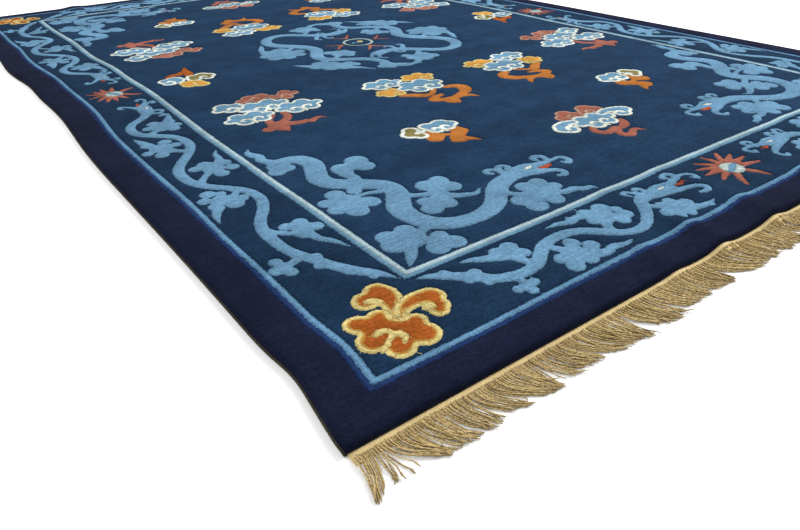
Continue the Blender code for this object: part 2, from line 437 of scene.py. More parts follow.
def fieldDragon():
    tail = stroke((-649, -583, 1.2), (-658, -597, 7), (-656, -613, 11), (-648, -630, 11), (-653, -648, 11),
                  (-647, -664, 12), (-638, -682, 17))
    body = stroke((-640, -684, 16), (-617, -682, 17), (-592, -695, 20), (-585, -728, 21), (-600, -765, 21),
                  (-612, -797, 21), (-602, -830, 21), (-566, -862, 21), (-537, -893, 20), (-535, -925, 20),
                  (-552, -955, 21), (-570, -985, 22), (-573, -1020, 21), (-562, -1052, 21), (-535, -1076, 20),
                  (-500, -1084, 18), (-465, -1080, 18), (-430, -1062, 19), (-400, -1033, 19), (-370, -1014, 19),
                  (-335, -1007, 17), (-300, -1007, 20))
    head = [stroke((-322, -1003, 19), (-297, -1006, 23), (-272, -1008, 15), (-255, -1005, 8)),
            stroke((-316, -992, 9), (-290, -988, 9), (-268, -996, 8), (-240, -1003, 6))]
    whiskers = [stroke((-252, -1003, 7), (-225, -1003, 5), (-208, -1002, 5.5), (-199, -1010, 6.5),
                       (-200, -1024, 7), (-209, -1031, 7), (-216, -1023, 4.5)),
                stroke((-238, -1003, 6), (-229, -991, 6), (-229, -978, 7), (-240, -971, 8), (-250, -977, 7.5),
                       (-247, -988, 4.5)),
                stroke((-290, -1022, 12), (-268, -1031, 9), (-252, -1041, 7.5), (-246, -1054, 7),
                       (-255, -1064, 7), (-267, -1060, 5))]
    mane = [stroke((-336, -992, 9), (-338, -976, 7), (-345, -963, 6.5), (-356, -961, 6.5), (-361, -970, 6),
                   (-354, -977, 5)),
            stroke((-338, -992, 8), (-334, -977, 6), (-328, -963, 6.5), (-317, -962, 7), (-312, -973, 7),
                   (-321, -980, 5.5))]
    blossoms = [
        lobes((-650, -694, 15), (-656, -718, 18), (-632, -713, 17)),
        lobes((-554, -782, 21), (-511, -770, 24), (-513, -801, 21), (-532, -786, 19)),
        [stroke((-556, -790, 20), (-561, -815, 13), (-558, -832, 11), (-568, -852, 13))],
        lobes((-625, -872, 19), (-590, -879, 14), (-655, -893, 16), (-652, -925, 18), (-628, -950, 20),
              (-594, -932, 20), (-624, -908, 28)),
        [stroke((-608, -900, 6), (-577, -902, 6), (-548, -914, 8))],
        lobes((-480, -940, 21), (-448, -937, 19), (-446, -969, 19), (-468, -958, 24), (-520, -989, 16),
              (-528, -1017, 20), (-495, -1014, 19), (-508, -1001, 17)),
        [stroke((-535, -948, 9), (-512, -963, 8), (-492, -972, 10)),
         stroke((-476, -966, 16), (-488, -985, 15), (-500, -1000, 16)),
         stroke((-482, -985, 12), (-466, -1001, 10), (-448, -1011, 8), (-432, -1017, 6), (-414, -1007, 1.2))],
        lobes((-643, -1053, 19), (-609, -1051, 18), (-648, -1081, 22), (-616, -1080, 25), (-577, -1096, 15),
              (-601, -1124, 19), (-570, -1125, 19), (-590, -1110, 16)),
        [stroke((-606, -1072, 11), (-585, -1066, 9), (-560, -1055, 13)),
         stroke((-634, -1100, 11), (-648, -1120, 9), (-667, -1142, 1.5))],
        lobes((-351, -1054, 19), (-320, -1056, 18), (-308, -1084, 15), (-348, -1086, 28), (-396, -1086, 18),
              (-388, -1117, 20), (-346, -1119, 18), (-370, -1095, 20)),
        [stroke((-378, -1072, 10), (-392, -1051, 8), (-388, -1030, 11)),
         stroke((-332, -1100, 10), (-308, -1113, 9), (-291, -1113, 9), (-275, -1126, 8), (-262, -1127, 6),
                (-257, -1139, 1.5))],
    ]
    return [
        ("steel", [tail, body, *head, *whiskers, *mane, *(mark for group in blossoms for mark in group)]),
        ("cream", [stroke((-297, -1003, 1.5), (-287, -1000, 4.5), (-275, -998, 1.5))]),
        ("red", [stroke((-272, -1014, 2.5), (-258, -1018, 6.5), (-241, -1015, 3))]),
    ]


def frontDragon():
    tail = [stroke((-680, -1173, 1.2), (-664, -1178, 6), (-646, -1190, 10), (-628, -1207, 12), (-611, -1224, 12),
                   (-596, -1240, 11), (-575, -1249, 10.5)),
            *lobes((-641, -1185, 9), (-607, -1209, 10), (-628, -1220, 8), (-610, -1240, 8))]
    body = stroke((-580, -1248, 10.5), (-553, -1252, 10.5), (-525, -1247, 11), (-503, -1232, 11), (-482, -1217, 10.5),
                  (-455, -1211, 10.5), (-425, -1213, 11), (-402, -1223, 11), (-383, -1242, 11), (-364, -1262, 10.5),
                  (-338, -1271, 9.5), (-308, -1269, 9.5), (-284, -1254, 10), (-265, -1234, 11), (-248, -1216, 12),
                  (-222, -1209, 13), (-195, -1211, 14))
    head = [stroke((-205, -1211, 15), (-178, -1212, 18), (-158, -1212, 12), (-142, -1208, 6)),
            stroke((-192, -1199, 7), (-172, -1197, 7), (-150, -1202, 6), (-125, -1203, 5))]
    whiskers = [stroke((-130, -1203, 5), (-106, -1198, 4.5), (-91, -1201, 5), (-86, -1212, 6), (-94, -1222, 6),
                       (-102, -1216, 4)),
                stroke((-132, -1203, 5), (-119, -1194, 5), (-118, -1183, 5.5), (-128, -1178, 6), (-138, -1184, 5.5),
                       (-134, -1192, 4)),
                stroke((-172, -1224, 9), (-146, -1232, 7), (-126, -1242, 6), (-120, -1255, 6), (-129, -1264, 6),
                       (-139, -1259, 4.5))]
    mane = [stroke((-224, -1200, 7), (-230, -1187, 5), (-238, -1178, 5), (-248, -1183, 5), (-245, -1194, 4.5)),
            stroke((-224, -1200, 7), (-219, -1187, 5), (-211, -1179, 5.5), (-203, -1187, 5.5), (-208, -1196, 4))]
    blossoms = [
        lobes((-590, -1277, 9), (-575, -1290, 9.5), (-560, -1277, 9), (-575, -1279, 9)),
        [stroke((-574, -1272, 6), (-571, -1252, 7))],
        lobes((-544, -1188, 13), (-521, -1187, 14), (-519, -1211, 13), (-535, -1203, 17)),
        [stroke((-606, -1177, 1.2), (-590, -1181, 6), (-571, -1191, 9), (-548, -1202, 12)),
         stroke((-536, -1215, 10), (-533, -1230, 8), (-524, -1246, 9))],
        lobes((-443, -1238, 14), (-424, -1261, 14), (-486, -1260, 14), (-483, -1285, 15), (-460, -1266, 22),
              (-452, -1286, 13)),
        [stroke((-462, -1252, 10), (-473, -1235, 8), (-480, -1217, 8)),
         stroke((-440, -1280, 12), (-420, -1288, 9), (-400, -1284, 7.5), (-382, -1291, 5), (-362, -1289, 1.2))],
        lobes((-349, -1186, 14), (-316, -1190, 17), (-303, -1226, 14), (-321, -1237, 13), (-337, -1209, 24),
              (-361, -1214, 13), (-300, -1207, 10)),
        [stroke((-345, -1222, 11), (-357, -1234, 9), (-366, -1252, 8)),
         stroke((-352, -1196, 12), (-372, -1188, 9), (-394, -1191, 8.5), (-414, -1183, 6), (-440, -1182, 1.2)),
         stroke((-388, -1192, 7), (-384, -1177, 3))],
        lobes((-230, -1246, 13), (-207, -1244, 13), (-188, -1262, 13), (-253, -1270, 13), (-239, -1286, 11),
              (-214, -1286, 12), (-220, -1265, 21)),
        [stroke((-236, -1257, 9), (-248, -1246, 8), (-258, -1236, 8)),
         stroke((-202, -1277, 11), (-182, -1284, 8), (-165, -1288, 6), (-147, -1287, 1.2)),
         stroke((-168, -1287, 6), (-160, -1296, 2))],
    ]
    return [
        ("steel", [*tail, body, *head, *whiskers, *mane, *(mark for group in blossoms for mark in group)]),
        ("cream", [stroke((-181, -1208, 1.2), (-173, -1205, 3.2), (-164, -1204, 1.2))]),
        ("red", [stroke((-147, -1216, 2), (-136, -1218, 4.5), (-126, -1215, 2))]),
    ]


def sideDragon():
    tail = [stroke((-699, -1155, 1.2), (-711, -1132, 8), (-732, -1106, 11), (-749, -1076, 11), (-762, -1044, 11),
                   (-775, -1012, 10.5)),
            *lobes((-722, -1132, 7), (-740, -1100, 10), (-766, -1062, 9), (-755, -1035, 9))]
    body = stroke((-775, -1015, 10.5), (-782, -985, 10.5), (-783, -955, 10.5), (-782, -918, 10.5), (-770, -880, 10.5),
                  (-746, -842, 10.5), (-732, -803, 10.5), (-735, -765, 10.5), (-755, -733, 11), (-784, -700, 11),
                  (-801, -668, 11), (-806, -630, 11), (-800, -590, 11), (-780, -556, 11), (-751, -520, 10.5),
                  (-732, -482, 10.5), (-730, -440, 10.5), (-745, -402, 11), (-773, -373, 11), (-795, -345, 11),
                  (-801, -310, 10.5), (-791, -276, 10.5), (-766, -251, 11), (-746, -226, 12), (-741, -200, 13))
    head = [stroke((-743, -212, 13), (-738, -188, 18), (-740, -165, 14), (-741, -148, 6)),
            stroke((-728, -185, 8), (-727, -160, 7), (-731, -140, 5))]
    whiskers = [stroke((-731, -142, 5), (-721, -126, 4.5), (-717, -108, 5), (-724, -97, 6), (-735, -99, 6),
                       (-735, -108, 4)),
                stroke((-728, -146, 5), (-715, -138, 5), (-704, -129, 5.5), (-702, -141, 5), (-708, -147, 4)),
                stroke((-750, -166, 8), (-761, -150, 6), (-773, -139, 5.5), (-784, -132, 6), (-788, -143, 5.5),
                       (-781, -150, 4))]
    mane = [stroke((-731, -210, 7), (-716, -207, 6), (-706, -212, 6), (-707, -224, 5), (-714, -226, 4)),
            stroke((-735, -222, 7), (-722, -232, 6), (-712, -243, 6), (-716, -255, 5.5), (-724, -252, 4))]
    blossoms = [
        lobes((-812, -1013, 11), (-822, -1035, 12), (-806, -1050, 11), (-805, -1031, 10)),
        [stroke((-800, -1031, 7), (-775, -1024, 8))],
        lobes((-747, -925, 13), (-723, -924, 14), (-709, -952, 14), (-735, -964, 14), (-727, -944, 18)),
        [stroke((-742, -955, 9), (-762, -940, 7), (-779, -918, 8)),
         stroke((-728, -970, 9), (-724, -992, 7.5), (-711, -1012, 6), (-701, -1042, 1.2)),
         *lobes((-716, -1003, 6))],
        lobes((-801, -730, 15), (-781, -741, 11), (-816, -754, 13), (-808, -785, 14), (-776, -795, 17),
              (-758, -780, 14), (-790, -768, 21)),
        [stroke((-774, -766, 10), (-760, -757, 7), (-744, -742, 8)),
         stroke((-806, -795, 10), (-819, -815, 8), (-826, -848, 1.2))],
        lobes((-751, -596, 15), (-774, -606, 13), (-716, -611, 14), (-712, -640, 14), (-741, -656, 15),
              (-744, -624, 22)),
        [stroke((-757, -637, 9), (-774, -652, 7), (-790, -674, 8)),
         stroke((-728, -608, 11), (-716, -586, 8), (-713, -562, 6), (-702, -540, 1.2))],
        lobes((-802, -427, 15), (-766, -427, 15), (-754, -456, 13), (-816, -469, 13), (-796, -493, 15),
              (-785, -457, 24), (-773, -482, 12)),
        [stroke((-776, -476, 9), (-765, -490, 8), (-750, -506, 8)),
         stroke((-801, -418, 11), (-806, -397, 8), (-813, -371, 1.2))],
        lobes((-751, -300, 15), (-769, -325, 13), (-718, -305, 14), (-711, -335, 13), (-723, -357, 14),
              (-745, -346, 13), (-738, -322, 24)),
        [stroke((-750, -336, 9), (-761, -350, 8), (-776, -366, 8)),
         stroke((-720, -300, 11), (-711, -278, 8), (-702, -248, 1.2))],
    ]
    return [
        ("steel", [*tail, body, *head, *whiskers, *mane, *(mark for group in blossoms for mark in group)]),
        ("cream", [stroke((-733, -184, 1.2), (-730, -176, 3), (-731, -168, 1.2))]),
        ("red", [stroke((-744, -150, 2), (-743, -138, 4), (-740, -127, 1.5))]),
    ]


def pearl(x, y, dyed="pearl"):
    rays = ((92, 60), (56, 68), (34, 64), (13, 64), (-14, 64), (-66, 62), (-128, 70), (-162, 60), (171, 64),
            (150, 66), (126, 62))
    marks = []
    for angle, reach in rays:
        c, s = math.cos(math.radians(angle)), math.sin(math.radians(angle))
        bend = 3.0 if abs(angle) > 90 else -3.0
        marks.append(stroke((x + 17 * c, y + 17 * s, 7.0),
                            (x + 0.62 * reach * c + bend * s, y + 0.62 * reach * s - bend * c, 6.5),
                            (x + reach * c, y + reach * s, 3.0)))
    band = stroke((x - 22, y - 7, 2), (x - 9, y - 5, 5.5), (x + 8, y + 4, 6), (x + 22, y + 8, 2))
    return [("terracotta", marks), (dyed, lobes((x, y, 22))), ("pearlBand", [band])]


def cloudHead(x, y, w, h, dyed="cloud", knob="cream", curls=(-1, 1), curlWidth=1.0):
    # a puff of five lobes with one or two curls at its foot, w by h from its middle
    size = (w + h) / 2
    puffs = ((-0.76, -0.02, 0.30), (-0.38, 0.42, 0.42), (0.30, 0.44, 0.42), (0.76, 0.0, 0.30),
             (-0.32, -0.48, 0.42), (0.34, -0.48, 0.42), (0.0, 0.0, 0.52))
    shapes = [(dyed, lobes(*((x + w * u, y + h * v, size * r) for u, v, r in puffs)))]
    marks = []
    for side in curls:
        turn = ((0.02, -0.88, 0.05), (0.03, -0.50, 0.06), (0.10, -0.20, 0.075), (0.29, -0.10, 0.085),
                (0.42, -0.28, 0.075), (0.34, -0.42, 0.06))
        marks.append(stroke(*((x + side * w * u, y + h * v, size * r * curlWidth) for u, v, r in turn)))
    return shapes + [(knob, marks)]


def cloudCluster():
    tail = [stroke((-520, -432, 8), (-541, -455, 9), (-545, -478, 12), (-541, -498, 20)),
            stroke((-489, -428, 9), (-492, -458, 10), (-510, -479, 11), (-530, -492, 14)),
            *lobes((-567, -511, 15), (-537, -522, 16), (-517, -507, 12)),
            stroke((-537, -527, 13), (-533, -545, 3)),
            stroke((-512, -504, 12), (-492, -514, 12), (-474, -512, 9), (-466, -521, 9), (-452, -511, 8),
                   (-438, -508, 6), (-427, -520, 1.5))]
    return [
        ("terracotta", tail),
        ("pinkCloud", lobes((-533, -290, 17), (-508, -275, 20), (-477, -279, 20), (-461, -298, 14), (-497, -298, 22))),
        ("pinkCurl", [stroke((-512, -305, 3), (-506, -285, 4), (-492, -281, 4), (-486, -294, 3))]),
        ("pinkCloud", lobes((-416, -291, 20), (-397, -306, 15), (-426, -326, 19), (-454, -311, 16), (-428, -308, 20))),
        ("pinkCurl", [stroke((-440, -326, 3), (-430, -306, 4), (-416, -306, 4), (-412, -318, 3))]),
        ("cloud", lobes((-587, -300, 24), (-606, -320, 16), (-580, -335, 18), (-556, -304, 14), (-550, -324, 15),
                        (-572, -318, 22))),
        ("cream", [stroke((-560, -338, 5), (-566, -322, 5.5), (-577, -318, 6), (-584, -328, 5))]),
        *cloudHead(-504, -352, 68, 44),
        *cloudHead(-567, -411, 62, 45),
        *cloudHead(-436, -407, 64, 46),
    ]


def cloudFlame():
    return [
        ("rustFlame", [stroke((-592, 28, 12), (-583, 48, 13), (-572, 58, 9), (-560, 55, 12), (-545, 62, 15),
                              (-532, 72, 13), (-522, 95, 8), (-516, 118, 2)),
                       stroke((-535, 35, 12), (-528, 55, 12), (-528, 75, 10)),
                       stroke((-585, 50, 9), (-572, 70, 3))]),
        ("cloud", lobes((-608, 12, 22), (-583, 18, 24), (-606, -12, 20), (-584, -8, 20), (-570, 5, 14))),
        ("cream", [stroke((-596, -22, 5), (-592, -2, 5), (-600, 8, 5), (-608, 0, 4))]),
        ("oliveCloud", lobes((-535, 8, 20), (-508, 14, 20), (-494, -2, 19), (-506, -20, 18), (-538, -12, 22),
                             (-520, -4, 22))),
        ("cream", [stroke((-525, -26, 4), (-520, -6, 5), (-510, -2, 5), (-504, -12, 4))]),
        ("goldCloud", lobes((-572, -42, 19), (-570, -62, 21), (-545, -50, 20), (-542, -70, 22), (-556, -38, 18))),
        ("gold", [stroke((-556, -82, 3), (-556, -62, 4), (-553, -44, 4))]),
    ]


def cloudPair():
    return [
        ("orangeTail", [stroke((-316, -742, 11), (-322, -765, 20), (-327, -776, 19)),
                        stroke((-315, -768, 12), (-298, -772, 8), (-281, -781, 3)),
                        stroke((-262, -750, 13), (-260, -770, 18), (-276, -788, 16), (-292, -804, 16),
                               (-292, -814, 14)),
                        stroke((-285, -812, 12), (-272, -822, 9), (-261, -838, 3)),
                        *lobes((-305, -812, 8), (-250, -776, 10))]),
        ("oliveCloud", lobes((-341, -710, 21), (-356, -728, 21), (-341, -745, 18), (-345, -727, 20))),
        ("cream", [stroke((-320, -728, 6), (-334, -727, 7), (-340, -731, 6))]),
        ("cloud", lobes((-297, -711, 22), (-262, -711, 23), (-245, -726, 17), (-294, -736, 20), (-263, -737, 19),
                        (-278, -722, 22))),
        ("cream", [stroke((-279, -757, 3), (-280, -738, 4), (-285, -728, 5), (-294, -726, 5), (-298, -734, 4)),
                   stroke((-277, -757, 3), (-276, -738, 4), (-271, -727, 5), (-263, -727, 5), (-259, -736, 4))]),
    ]


def cloudWide():
    return [
        ("terracotta", [stroke((-36, -942, 8), (-48, -961, 10), (-38, -979, 10), (-18, -978, 9), (2, -970, 7)),
                        stroke((50, -950, 9), (40, -967, 11), (24, -978, 10), (4, -980, 8), (-12, -990, 9),
                               (-18, -1005, 10), (-8, -1019, 10), (10, -1010, 8), (27, -1004, 7.5), (39, -1020, 2))]),
        ("pinkCloud", lobes((-16, -849, 22), (-38, -866, 20), (0, -868, 19), (-18, -872, 18))),
        ("pinkCurl", [stroke((-8, -884, 3), (-9, -868, 4), (-20, -862, 4), (-28, -872, 3.5), (-20, -880, 3))]),
        ("pinkCloud", lobes((49, -850, 24), (64, -866, 21), (29, -870, 19), (46, -874, 18))),
        ("pinkCurl", [stroke((32, -884, 3), (33, -868, 4), (44, -861, 4), (55, -870, 3.5), (47, -879, 3))]),
        ("cloud", [stroke((-35, -900, 14), (-60, -891, 15), (-85, -897, 17), (-95, -912, 19)),
                   *lobes((-80, -921, 22))]),
        ("cream", [stroke((-58, -918, 5), (-68, -909, 5), (-80, -910, 5.5), (-84, -921, 5))]),
        ("cloud", [stroke((50, -896, 14), (72, -890, 15), (98, -895, 17), (112, -907, 20)),
                   *lobes((92, -921, 22))]),
        ("cream", [stroke((72, -918, 5), (80, -909, 5), (93, -909, 5.5), (97, -920, 5))]),
        *cloudHead(7, -915, 62, 42),
    ]


def cloudGold():
    return [
        ("orangeTail", [stroke((-210, -497, 9), (-190, -508, 13), (-168, -528, 13), (-150, -529, 9), (-130, -514, 8),
                               (-118, -500, 7)),
                        stroke((-84, -507, 9), (-64, -511, 13), (-52, -531, 16), (-62, -556, 16), (-82, -570, 12),
                               (-108, -582, 13), (-132, -588, 12), (-158, -580, 12), (-172, -570, 12),
                               (-155, -555, 11), (-130, -547, 7)),
                        stroke((-140, -592, 20), (-139, -604, 18), (-134, -620, 5)),
                        stroke((-98, -586, 9), (-80, -597, 8), (-70, -618, 1.5))]),
        *cloudHead(-193, -386, 60, 42),
        *cloudHead(-84, -392, 50, 39, "goldCloud", "gold", (1,), 1.2),
        *cloudHead(-215, -458, 42, 35, "goldCloud", "gold", (1,), 1.1),
        *cloudHead(-122, -453, 68, 53),
    ]


def ruyiCorner():
    return [
        ("ruyi", [stroke((-757, -1226, 8), (-748, -1205, 13), (-737, -1183, 18), (-740, -1165, 19)),
                  *lobes((-765, -1173, 18), (-768, -1178, 17), (-731, -1174, 13))]),
        ("gold", [stroke((-750, -1190, 3), (-755, -1183, 6.5), (-762, -1179, 7))]),
        ("ruyi", [stroke((-752, -1229, 8), (-738, -1216, 12), (-715, -1211, 16), (-692, -1213, 17)),
                  *lobes((-687, -1219, 14), (-696, -1238, 14), (-703, -1244, 16))]),
        ("gold", [stroke((-719, -1237, 3), (-713, -1232, 7), (-707, -1234, 6.5))]),
        ("ruyi", lobes((-803, -1213, 20), (-774, -1213, 15.5), (-807, -1251, 22), (-783, -1277, 22),
                       (-745, -1275, 22), (-743, -1248, 17), (-775, -1245, 24), (-790, -1228, 18))),
        ("gold", [stroke((-798, -1243, 4), (-790, -1240, 5.5), (-782, -1243, 5), (-780, -1249, 3)),
                  stroke((-806, -1273, 4), (-791, -1262, 4.5), (-781, -1254, 5), (-772, -1256, 6),
                         (-770, -1266, 5), (-775, -1273, 3))]),
    ]


def medallionDragon():
    # drawn from the medallion's own middle
    tail = [stroke((3, -329, 1.5), (-30, -320, 10), (-62, -306, 18), (-78, -285, 16), (-74, -262, 14),
                   (-72, -245, 14)),
            *lobes((-102, -290, 18), (-86, -306, 18), (-84, -270, 16), (-45, -318, 12))]
    body = stroke((-72, -248, 14), (-82, -215, 15), (-100, -190, 16), (-135, -165, 17), (-170, -140, 18),
                  (-192, -112, 19), (-193, -78, 20), (-176, -38, 20), (-156, 0, 21), (-161, 42, 21), (-188, 85, 21),
                  (-218, 122, 20), (-233, 163, 19), (-224, 205, 18), (-195, 240, 17), (-158, 252, 17),
                  (-122, 240, 17), (-92, 210, 17), (-62, 180, 17), (-30, 158, 17), (5, 150, 17))
    head = [stroke((-5, 152, 19), (22, 158, 20), (42, 172, 12)),
            stroke((20, 145, 10), (42, 150, 8), (60, 168, 6), (72, 190, 6), (64, 206, 5)),
            stroke((28, 168, 8), (48, 190, 6), (52, 212, 5), (40, 222, 5)),
            stroke((-18, 168, 8), (-22, 188, 7), (-34, 196, 6), (-42, 186, 5)),
            stroke((-52, 166, 9), (-70, 142, 8), (-82, 122, 7), (-72, 112, 6)),
            stroke((-38, 150, 8), (-44, 122, 7), (-34, 104, 6), (-24, 112, 5))]
    blossoms = [
        lobes((-245, 70, 26), (-285, 62, 26), (-308, 28, 22), (-300, -8, 22), (-262, -22, 22), (-222, -12, 22),
              (-205, 22, 20), (-260, 24, 42)),
        [stroke((-222, 55, 10), (-204, 72, 9), (-190, 92, 10)),
         stroke((-290, 70, 12), (-288, 105, 9), (-272, 140, 8), (-262, 168, 1.5))],
        lobes((-232, -148, 22), (-252, -172, 22), (-225, -205, 24), (-190, -222, 24), (-162, -200, 20),
              (-150, -218, 16), (-208, -178, 32)),
        [stroke((-212, -150, 10), (-198, -128, 10)),
         stroke((-250, -165, 12), (-276, -142, 10), (-298, -110, 1.5)),
         stroke((-190, -230, 12), (-160, -256, 9), (-132, -298, 1.5))],
        lobes((-145, -58, 18), (-122, -68, 18), (-98, -72, 16), (-92, -98, 17), (-108, -118, 18), (-125, -92, 26)),
        [stroke((-135, -105, 9), (-152, -118, 8), (-165, -128, 9))],
        lobes((-58, 258, 22), (-72, 285, 20), (-40, 296, 22), (-15, 270, 20), (-12, 240, 16), (-40, 268, 28)),
        [stroke((-52, 240, 9), (-68, 222, 8), (-82, 206, 9)),
         stroke((-22, 292, 12), (10, 318, 9), (48, 326, 7), (75, 316, 1.5))],
    ]
    return [("steel", [*tail, body, *head, *(mark for group in blossoms for mark in group)])]


def medallionHeart():
    marks = []
    for turn in (3, 92, 184, 272):
        a = math.radians(turn)
        c, s = math.cos(a), math.sin(a)
        for side in (-1, 1):
            arm = ((62, 0, 4.5), (80, 11 * side, 5), (102, 32 * side, 3))
            marks.append(stroke(*((u * c - v * s, u * s + v * c, r) for u, v, r in arm)))
    return [
        ("terracotta", marks),
        ("ring", [arc(0, 0, 45, 0, 360, 4.2)]),
        ("creamGold", lobes((10, 4, 10))),
        ("pearlBand", [stroke((-24, -14, 2), (-14, 4, 5), (-6, -10, 4), (8, -18, 2))]),
    ]


upright = ((1, 0), (0, 1))
flippedX = ((-1, 0), (0, 1))
flippedY = ((1, 0), (0, -1))
turned = ((-1, 0), (0, -1))
quarter = ((0, -1), (1, 0))
fourWays = (upright, flippedX, flippedY, turned)
fourCorners = tuple((way, (0, 0)) for way in fourWays)


def placed(ways, *shifts):
    # the weaver's count runs a little out, so each motif has a small shift of its own
    return tuple(zip(ways, shifts))



# each motif with the ways and places in which it is knotted
ornament = {
    "middle": (21, 42),
    "pearlAlong": 1233,
    "pearlAcross": 762,
}
motifs = (
    ("fieldDragon", fieldDragon(), fourCorners),
    ("frontDragon", frontDragon(), fourCorners),
    ("sideDragon", sideDragon(), fourCorners),
    ("cloudCluster", cloudCluster(), placed(fourWays, (2, 8), (33, 24), (-6, 4), (25, 45))),
    ("cloudFlame", cloudFlame(), placed((upright, turned), (-7, 3), (38, 45))),
    ("cloudPair", cloudPair(), placed(fourWays, (4, 3), (22, -6), (-18, 4), (25, 40))),
    ("cloudWide", cloudWide(), placed((upright, flippedY), (6, 5), (-18, 25))),
    ("cloudGold", cloudGold(), placed(fourWays, (7, -2), (46, -9), (-12, 40), (38, 60))),
    ("ruyiCorner", ruyiCorner(), fourCorners),
    ("endPearl", pearl(0, 0), ((upright, (-4, -ornament["pearlAlong"])), (turned, (4, ornament["pearlAlong"])))),
    ("sidePearl", pearl(0, 0), ((quarter, (-ornament["pearlAcross"], -8)), (quarter, (ornament["pearlAcross"], 0)))),
    ("medallionDragon", medallionDragon(), ((upright, ornament["middle"]), (turned, ornament["middle"]))),
    ("medallionHeart", medallionHeart(), ((upright, ornament["middle"]),)),
)

# border lines, as half width, half length and the dye inside, from the rim inwards
borders = (
    (851, 1322, "royalLine"), (843, 1314, "lightLine"), (834, 1305, "bandBlue"),
    (693, 1164, "paleLine"), (685.5, 1156.5, "creamLine"), (676, 1147, "fieldBlue"),
)


def drawMotif(shapes):
    every = np.array([point for _, marks in shapes for chain in marks for point in chain])
    margin = drawing["margin"] + every[:, 2].max()
    low, high = every[:, :2].min(0) - margin, every[:, :2].max(0) + margin
    xs = np.arange(low[0], high[0], drawing["gridStep"])
    ys = np.arange(low[1], high[1], drawing["gridStep"])
    fields = [shapeField(marks, xs, ys) for _, marks in shapes]
    fields = [trueDepth(field, xs, ys) if len(dyeSteps[dyed]) > 1 else field
              for (dyed, _), field in zip(shapes, fields)]
    runs = []
    for index, (dyed, _) in enumerate(shapes):
        cover = np.minimum.reduce([f for f in fields[index + 1:]] or [np.full_like(fields[0], 99.0)])
        for depth, _ in dyeSteps[dyed]:
            for loop in levelLoops(fields[index], -depth, xs, ys):
                hidden = sampled(cover, xs, ys, loop) < 0.0
                for run in visibleRuns(loop, hidden):
                    runs.append((run, "inner" if depth else "outline"))
    return {"shapes": shapes, "xs": xs, "ys": ys, "fields": fields, "runs": runs}


def dyeAt(motif, points):
    found = np.full(len(points), -1)
    for (dyed, _), field in zip(motif["shapes"], motif["fields"]):
        depth = -sampled(field, motif["xs"], motif["ys"], points)
        for step, dye in dyeSteps[dyed]:
            found[depth > step] = dyeNumber[dye]
    return found


def rectangleRun(halfX, halfY, spacing):
    corners = [(-halfX, -halfY), (halfX, -halfY), (halfX, halfY), (-halfX, halfY), (-halfX, -halfY)]
    run = []
    for (ax, ay), (bx, by) in zip(corners, corners[1:]):
        count = max(1, round(math.hypot(bx - ax, by - ay) / spacing))
        run += [(ax + (bx - ax) * i / count, ay + (by - ay) * i / count) for i in range(count)]
    return np.array(run + [corners[0]])


def planDrawing():
    # every outline of the rug as kept points and edges, and the dense points along them
    points, depths, edges, dense = [], [], [], []
    outward = []
    drawn = []

    def addRun(run, kind, keep):
        first = len(points)
        ahead = np.roll(run[:-1], -1, axis=0) if np.allclose(run[0], run[-1]) else None
        closed = ahead is not None
        kept = keep[:-1] if closed else keep
        for k in kept:
            points.append(tuple(run[k]))
            depths.append(carpet["grooveDepth"][kind])
            before = run[k - 1] if k > 0 else run[-2 if closed else 0]
            after = run[k + 1] if k + 1 < len(run) else run[1 if closed else -1]
            along = after - before
            length = max(1e-6, math.hypot(*along))
            outward.append((-along[1] / length, along[0] / length))
        total = len(kept)
        for i in range(total if closed else total - 1):
            edges.append((first + i, first + (i + 1) % total))
        dense.extend(map(tuple, run))

    for name, shapes, uses in motifs:
        motif = drawMotif(shapes)
        keeps = [keptPlaces(run) for run, _ in motif["runs"]]
        for way, shift in uses:
            matrix, offset = np.array(way, float), np.array(shift, float)
            for (run, kind), keep in zip(motif["runs"], keeps):
                addRun(run @ matrix.T + offset, kind, keep)
            drawn.append((motif, matrix, offset))
        print("drawn", name, "with", len(motif["runs"]), "outlines, knotted", len(uses), "times")
    for halfX, halfY, _ in borders:
        run = rectangleRun(halfX, halfY, 11.0)
        addRun(run, "border", list(range(len(run))))
        fine = rectangleRun(halfX, halfY, 2.5)
        dense.extend(map(tuple, fine))
    return points, depths, edges, dense, outward, drawn


